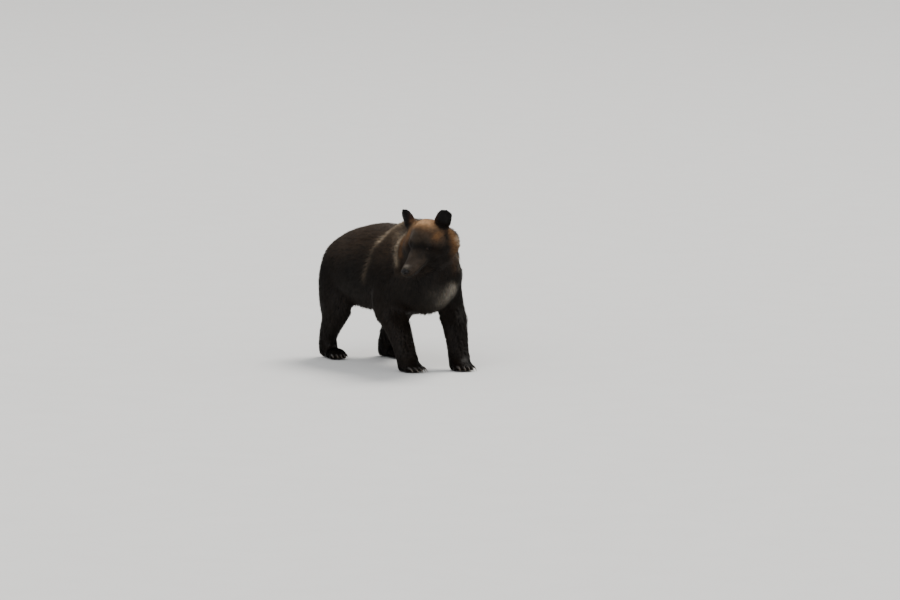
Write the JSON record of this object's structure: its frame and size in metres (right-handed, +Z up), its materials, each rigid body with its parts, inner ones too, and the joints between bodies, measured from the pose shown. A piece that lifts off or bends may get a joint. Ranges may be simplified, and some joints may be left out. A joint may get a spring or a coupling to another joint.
{
  "type": "grizzly bear",
  "caption": "Still, life-size shaggy brown grizzly bear standing in mid-step, with its head lowered and turned to its right.",
  "frame": {"origin": "on the floor, under the middle of the box round the bear", "axes": "+X along the body towards the chest, +Y to the bear's left, +Z up"},
  "size_m": [1.6494, 0.6492, 1.1411],
  "materials": {
    "brown_coat": "thick matt fur, dark brown with lighter tips",
    "dark_coat": "thick matt fur, near black",
    "golden_coat": "short fur, golden brown round a dark face",
    "nose_and_claws": "damp pebbled black leather and satin dark horn",
    "eye": "wet gloss, dark brown iris"
  },
  "bodies": {
    "root": {"head": "golden_coat", "lower_jaw": "brown_coat", "nose": "nose_and_claws", "ear_left": "dark_coat", "ear_right": "dark_coat", "eye_left": "eye", "eye_right": "eye", "neck": "brown_coat", "trunk": "brown_coat", "tail": "brown_coat", "upper_arm_left": "dark_coat", "forearm_left": "dark_coat", "forepaw_left": "dark_coat", "thigh_left": "dark_coat", "shank_left": "dark_coat", "hindpaw_left": "dark_coat", "upper_arm_right": "dark_coat", "forearm_right": "dark_coat", "forepaw_right": "dark_coat", "thigh_right": "dark_coat", "shank_right": "dark_coat", "hindpaw_right": "dark_coat"}
  },
  "joints": []
}
